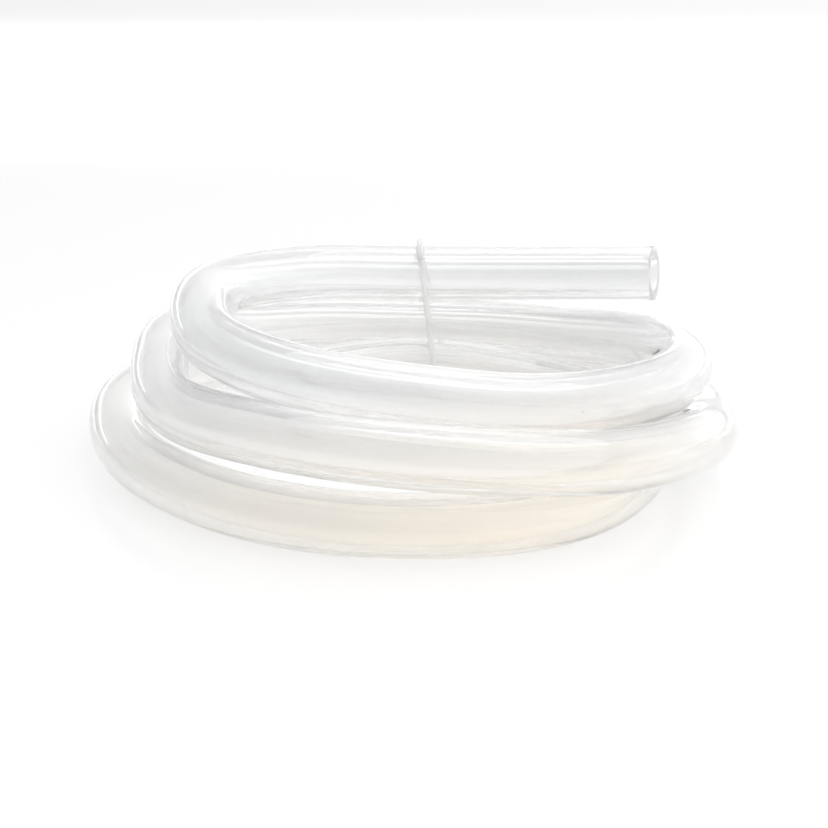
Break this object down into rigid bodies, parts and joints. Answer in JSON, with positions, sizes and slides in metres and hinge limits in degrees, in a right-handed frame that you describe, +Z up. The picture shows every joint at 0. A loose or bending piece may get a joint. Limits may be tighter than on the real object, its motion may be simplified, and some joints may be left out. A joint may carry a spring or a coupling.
{
  "type": "silicone tubing coil",
  "caption": "Loosely wound coil of clear silicone laboratory tubing, held by a thin tie, with a free cut end.",
  "frame": {"origin": "on the floor under the middle of the coil's bounding box", "axes": "+Z up out of the floor, +X towards the free cut end, +Y towards the back, where the tie is"},
  "size_m": [0.11, 0.1208, 0.0311],
  "materials": {
    "tubing": "smooth translucent silicone",
    "tie": "clear gloss"
  },
  "bodies": {
    "root": {"tubing": "tubing", "tie": "tie"}
  },
  "joints": []
}
